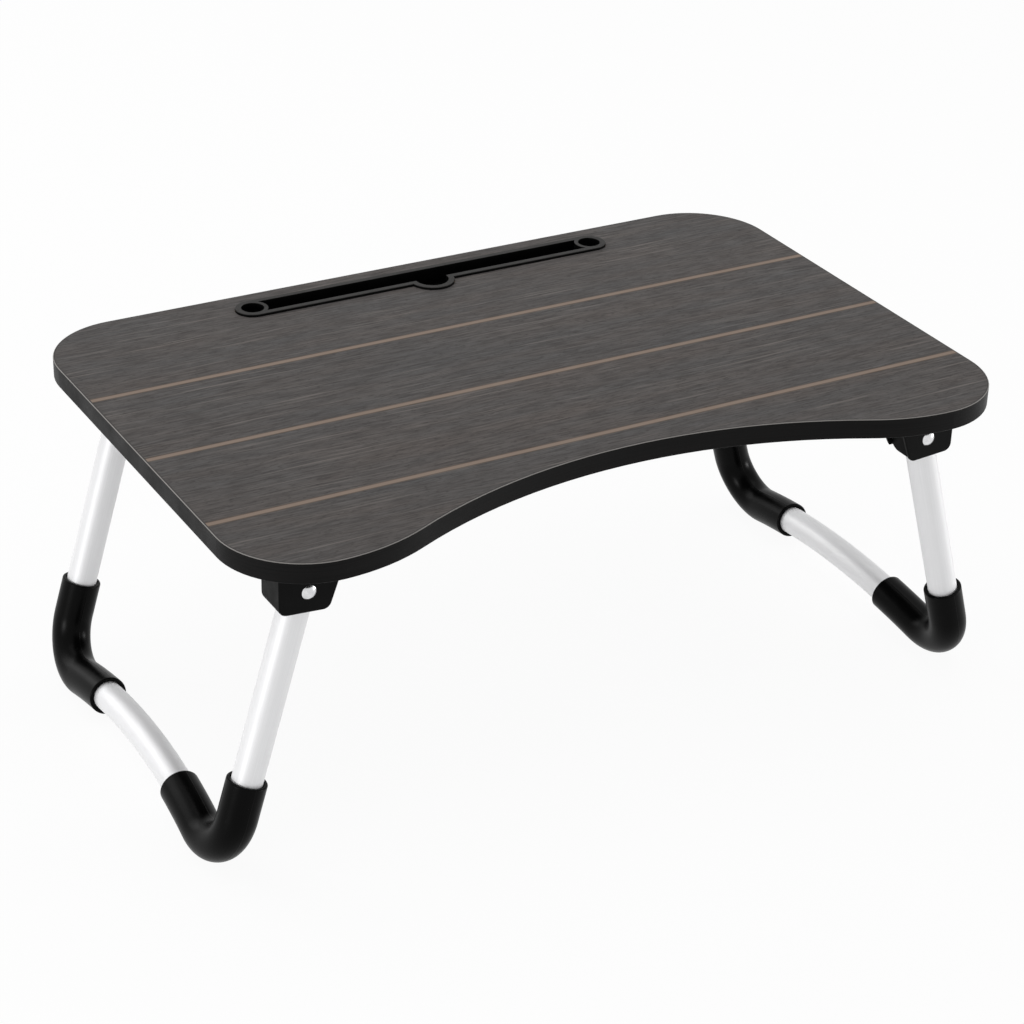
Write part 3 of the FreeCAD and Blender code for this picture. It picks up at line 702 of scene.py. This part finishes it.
def leg_aluminium():
    """The drawn and anodised tube of a leg."""
    material, tree, shader, place = start_material("leg_aluminium", METAL_SHINE)
    shader.inputs["Metallic"].default_value = TUBE_METAL
    leg_place = leg_axes(tree, place)
    on_bar = spread(tree, axes_of(tree, leg_place)["Z"], BAR_START, BAR_FULL)
    on_upright = calc(tree, "SUBTRACT", 1.0, on_bar)
    bar_lines = calc(tree, "MULTIPLY", streaks(tree, leg_place, BAR_REPEATS), on_bar)
    upright_lines = calc(tree, "MULTIPLY", streaks(tree, leg_place, UPRIGHT_REPEATS), on_upright)
    lines = calc(tree, "ADD", bar_lines, upright_lines)
    paint(tree, shader, blend(tree, lines, TUBE_DULL, TUBE_PALE))
    uneven_gloss(tree, shader, place, TUBE_GLOSS)
    emboss(tree, shader, lines, DRAW_DEPTH)
    return material


dress("leg_aluminium", leg_aluminium())

# %% [markdown]
# ## Rubber sleeves
# The elbows that the table stands on are moulded in soft black rubber. The mould's two halves leave a
# fine raised line in the plane of the leg, and the sole is scuffed grey where it rubs on the floor. The
# line could be modelled, but it is as thin as a sheet of paper, so it is part of the bump, and the scuffs
# are a colour near the floor. The gloss is satin, because smoother rubber would look wet.

# %% Sleeve finish
RUBBER_BLACK = screen(2, 2, 2)
RUBBER_PALE = screen(5, 5, 5)
RUBBER_SCUFF = screen(58, 57, 55)
RUBBER_SHINE = 0.055
RUBBER_GLOSS = {"Patches per Metre": 70.0, "Glossy": 0.27, "Matt": 0.34}
RUBBER_PITS = 1900.0
RUBBER_GRAIN_SHARE = 0.12
SCUFF_TOP_Z = 0.0035
SCUFF_REPEATS = (420.0, 420.0, 420.0)
MOULD_LINE_HALF_WIDTH = 0.0005
MOULD_LINE_HEIGHT = 0.0001


def sleeve_rubber():
    """The satin rubber of a foot, with its mould line and scuffed sole."""
    material, tree, shader, place = start_material("sleeve_rubber", RUBBER_SHINE)
    grain = moulded_grain(tree, place, RUBBER_PITS)
    near_floor = spread(tree, axes_of(tree, place)["Z"], 0.0, SCUFF_TOP_Z, 1.0, 0.0)
    scuffs = calc(tree, "MULTIPLY", near_floor, streaks(tree, place, SCUFF_REPEATS))
    colour = blend(tree, grain_tone(tree, grain), RUBBER_BLACK, RUBBER_PALE)
    paint(tree, shader, blend(tree, scuffs, colour, RUBBER_SCUFF))
    off_plane = calc(tree, "ABSOLUTE", axes_of(tree, leg_axes(tree, place))["X"])
    mould_line = spread(tree, off_plane, 0.0, MOULD_LINE_HALF_WIDTH, 1.0, 0.0)
    relief = calc(tree, "ADD", mould_line, calc(tree, "MULTIPLY", grain, RUBBER_GRAIN_SHARE))
    uneven_gloss(tree, shader, place, RUBBER_GLOSS)
    emboss(tree, shader, relief, MOULD_LINE_HEIGHT)
    return material


dress("sleeve_rubber", sleeve_rubber())

# %% [markdown]
# ## Steel fasteners
# The rivets are nickel plated and polished, and the washers and screws are zinc plated, which dries in
# cloudy patches. A mirror of one colour would look like chrome, so the clouds change both tone and gloss.
# One function serves all three, and the polished rivets only have brighter colours and smoother levels.

# %% Steel finishes
FULL_METAL = 1.0
CLOUD_REPEATS = (300.0, 300.0, 300.0)
PLATING_DEPTH = 0.000004
STEEL_LOOKS = {
    "rivet_steel": {
        "dull": screen(206, 206, 208), "bright": screen(224, 224, 225),
        "gloss": {"Patches per Metre": 400.0, "Glossy": 0.16, "Matt": 0.26}},
    "washer_steel": {
        "dull": screen(186, 187, 190), "bright": screen(212, 212, 213),
        "gloss": {"Patches per Metre": 600.0, "Glossy": 0.24, "Matt": 0.38}},
    "screw_steel": {
        "dull": screen(168, 169, 172), "bright": screen(198, 198, 199),
        "gloss": {"Patches per Metre": 600.0, "Glossy": 0.24, "Matt": 0.38}},
}


def plated_steel(name, dull, bright, gloss):
    """Steel under a plating that is cloudy in tone and gloss."""
    material, tree, shader, place = start_material(name, METAL_SHINE)
    shader.inputs["Metallic"].default_value = FULL_METAL
    clouds = streaks(tree, place, CLOUD_REPEATS)
    paint(tree, shader, blend(tree, clouds, dull, bright))
    uneven_gloss(tree, shader, place, gloss)
    emboss(tree, shader, clouds, PLATING_DEPTH)
    return material


STEEL_FINISHES = {name: plated_steel(name, **steel_look) for name, steel_look in STEEL_LOOKS.items()}
for slot_name, steel in STEEL_FINISHES.items():
    dress(slot_name, steel)

# %% [markdown]
# ## Bracket screws
# Three countersunk screws hold each bracket's base plate to the board. The CAD screws are plain cones on
# shanks, and a bump could only hint at a driver's cross, so one screw is modelled and copied twelve times.
# The places come from the lowest points of the CAD screws, which are the rims of the heads.

# %% Places of the screws
SCREW_APART = 0.008
NEAR = 0.00001
AXES = range(3)


def lowest_rings(node):
    """The separate rings of lowest points in a CAD node, each as a list of places."""
    points = [vertex.co for vertex in NODES[node].data.vertices]
    limit = min(point.z for point in points) + NEAR
    rings = []
    for point in points:
        if point.z > limit:
            continue
        home = next((ring for ring in rings if (ring[0] - point).length < SCREW_APART), None)
        if home is None:
            home = []
            rings.append(home)
        home.append(point)
    return rings


def ring_corners(ring):
    """The lowest and the highest corner of a ring of points."""
    low = Vector([min(point[axis] for point in ring) for axis in AXES])
    high = Vector([max(point[axis] for point in ring) for axis in AXES])
    return low, high


screw_rings = [ring_corners(ring) for ring in lowest_rings("bracket_screws")]
HEAD_RADIUS = (screw_rings[0][1].x - screw_rings[0][0].x) / 2
SCREW_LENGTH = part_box("bracket_screws")[1].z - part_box("bracket_screws")[0].z
print(len(screw_rings), "screws with heads", round(2 * HEAD_RADIUS, 4), "m across")

# %% [markdown]
# ## Screw body
# The screw points up into the board, so a disc at the bottom is the face of its head. It is extruded up and
# drawn in for the countersink, extruded again for the shank, and once more for the point, whose ring is
# merged into one corner. Spinning a profile would work too, but a few extrusions need no drawn outline.
# The head's rim is then bevelled, because a sharp rim catches no light.


# %% Edit-mode helpers
def select_part(piece, kind, wanted):
    """In edit mode, selects only the faces or the edges that pass a test."""
    bpy.ops.mesh.select_mode(type=kind)
    bpy.ops.mesh.select_all(action="DESELECT")
    shape = bmesh.from_edit_mesh(piece.data)
    parts = shape.faces if kind == "FACE" else shape.edges
    for part in parts:
        part.select_set(wanted(part))
    bmesh.update_edit_mesh(piece.data)


def extrude_up(height):
    """Extrudes what is selected straight up."""
    bpy.ops.mesh.extrude_region_move(TRANSFORM_OT_translate={"value": (0, 0, height)})


def face_outwards():
    """Turns every face of the mesh outwards and leaves edit mode."""
    bpy.ops.mesh.select_all(action="SELECT")
    bpy.ops.mesh.normals_make_consistent(inside=False)
    bpy.ops.object.mode_set(mode="OBJECT")


def at_bottom(edge):
    """Whether an edge lies in the face of the screw's head."""
    return all(abs(vertex.co.z) < NEAR for vertex in edge.verts)


print("edit-mode helpers ready, places agree within", NEAR, "m")

# %% Model one screw
SCREW_SIDES = 40
HEAD_HEIGHT = 0.002
SHANK_RADIUS = 0.00175
POINT_LENGTH = 0.003
RIM_BEVEL = 0.0003
RIM_SEGMENTS = 2
NECK_SHARE = SHANK_RADIUS / HEAD_RADIUS

bpy.ops.object.select_all(action="DESELECT")
bpy.ops.mesh.primitive_circle_add(vertices=SCREW_SIDES, radius=HEAD_RADIUS, fill_type="NGON",
                                  location=ORIGIN)
screw = bpy.context.active_object
bpy.ops.object.mode_set(mode="EDIT")
bpy.ops.mesh.select_all(action="SELECT")
extrude_up(HEAD_HEIGHT)
bpy.ops.transform.resize(value=(NECK_SHARE, NECK_SHARE, 1), center_override=(0, 0, HEAD_HEIGHT))
extrude_up(SCREW_LENGTH - HEAD_HEIGHT - POINT_LENGTH)
extrude_up(POINT_LENGTH)
bpy.ops.mesh.merge(type="CENTER")
select_part(screw, "EDGE", at_bottom)
bpy.ops.mesh.bevel(offset=RIM_BEVEL, segments=RIM_SEGMENTS, affect="EDGES")
face_outwards()
print("screw body has", len(screw.data.polygons), "faces")

# %% [markdown]
# ## Cross recess
# The driver's cross is cut out of the head. A small post has its four sides extruded into arms, and its top
# is drawn in, so that the recess narrows as a real one does. A Boolean modifier then takes that shape out
# of the screw, which is simpler than cutting the head's face by hand, and is applied at once.

# %% Cut the recess
CROSS_WIDTH = 0.0009
CROSS_SPAN = 0.0038
CROSS_DEPTH = 0.0015
CROSS_TAPER = 0.45
CROSS_ARM = (CROSS_SPAN - CROSS_WIDTH) / 2
FACES_UP = 0.5
SMOOTH_ANGLE = math.radians(30)

bpy.ops.mesh.primitive_cube_add(size=1, scale=(CROSS_WIDTH, CROSS_WIDTH, 2 * CROSS_DEPTH),
                                location=ORIGIN)
cutter = bpy.context.active_object
bpy.ops.object.transform_apply(location=False, rotation=False, scale=True)
bpy.ops.object.mode_set(mode="EDIT")
select_part(cutter, "FACE", lambda face: abs(face.normal.z) < FACES_UP)
bpy.ops.mesh.extrude_faces_move(TRANSFORM_OT_shrink_fatten={"value": CROSS_ARM})
select_part(cutter, "FACE", lambda face: face.normal.z > FACES_UP)
bpy.ops.transform.resize(value=(CROSS_TAPER, CROSS_TAPER, 1), center_override=(0, 0, CROSS_DEPTH))
face_outwards()

recess = screw.modifiers.new("cross_recess", "BOOLEAN")
recess.object = cutter
recess.operation = "DIFFERENCE"
recess.solver = "EXACT"
bpy.ops.object.select_all(action="DESELECT")
screw.select_set(True)
bpy.context.view_layer.objects.active = screw
bpy.ops.object.modifier_apply(modifier="cross_recess")
bpy.data.objects.remove(cutter)
bpy.ops.object.shade_smooth_by_angle(angle=SMOOTH_ANGLE)
print("screw with recess has", len(screw.data.polygons), "faces")

# %% [markdown]
# ## Copies of the screw
# Nobody stops a screwdriver at the same angle twice, so each copy is turned a little further than the one
# before. The copies are joined into one piece, because the CAD model has the twelve screws as one node, and
# their places and turns are applied, so that the piece sits at the origin as a CAD node does.

# %% Place the screws
SCREW_TURN = math.radians(37)

bpy.ops.object.select_all(action="DESELECT")
for number, (low, high) in enumerate(screw_rings):
    copy = screw.copy()
    copy.data = screw.data.copy()
    bpy.context.scene.collection.objects.link(copy)
    copy.location = (low + high) / 2
    copy.rotation_euler = (0, 0, number * SCREW_TURN)
    copy.select_set(True)
    bpy.context.view_layer.objects.active = copy
bpy.data.objects.remove(screw)
bpy.ops.object.join()
crossed_screws = bpy.context.active_object
crossed_screws.name = "crossed_bracket_screws"
bpy.ops.object.transform_apply(location=True, rotation=True, scale=True)
crossed_screws.data.materials.append(STEEL_FINISHES["screw_steel"])
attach(crossed_screws, "tabletop")
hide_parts("bracket_screws")
print("screws have", len(crossed_screws.data.polygons), "faces in all")

# %% [markdown]
# ## Board underside
# A plain black backing sheet keeps the board from warping, with the pebbled press-plate texture that such
# sheets have. It could be left flat, since it is seldom seen, but a folded table shows it. The moulded grain
# with larger pits makes the pebbles.

# %% Underside finish
BACKING_BLACK = screen(20, 20, 20)
BACKING_PALE = screen(33, 32, 32)
SHEET_SHINE = 0.2
BACKING_GLOSS = {"Patches per Metre": 25.0, "Glossy": 0.50, "Matt": 0.66}
BACKING_PITS = 900.0
BACKING_DEPTH = 0.00006


def backing_laminate():
    """The pebbled sheet under the board."""
    material, tree, shader, place = start_material("backing_laminate", SHEET_SHINE)
    pebbles = moulded_grain(tree, place, BACKING_PITS)
    paint(tree, shader, blend(tree, grain_tone(tree, pebbles), BACKING_BLACK, BACKING_PALE))
    uneven_gloss(tree, shader, place, BACKING_GLOSS)
    emboss(tree, shader, pebbles, BACKING_DEPTH)
    return material


dress("backing_laminate", backing_laminate())

# %% [markdown]
# ## Board core
# The core between the sheets is pressed wood fibre, and band and sheets cover it all round. It could stay
# plain, but each piece may also be looked at by itself. The fibres lie flat in the board, so the streaks
# repeat more often along Z than along X and Y.

# %% Core finish
FIBRE_PALE = screen(196, 164, 122)
FIBRE_BROWN = screen(150, 116, 80)
CORE_SHINE = 0.2
CORE_GLOSS = {"Patches per Metre": 90.0, "Glossy": 0.80, "Matt": 0.95}
CORE_REPEATS = (700.0, 700.0, 1600.0)
CORE_DEPTH = 0.0001


def fibreboard():
    """The pressed fibre inside the board."""
    material, tree, shader, place = start_material("fibreboard", CORE_SHINE)
    fibres = streaks(tree, place, CORE_REPEATS)
    paint(tree, shader, blend(tree, fibres, FIBRE_BROWN, FIBRE_PALE))
    uneven_gloss(tree, shader, place, CORE_GLOSS)
    emboss(tree, shader, fibres, CORE_DEPTH)
    return material


dress("fibreboard", fibreboard())

# %% [markdown]
# ## View transform
# The view transform stays plain, so colours come out as they were mixed.

# %% Finish
bpy.context.scene.view_settings.view_transform = "Standard"
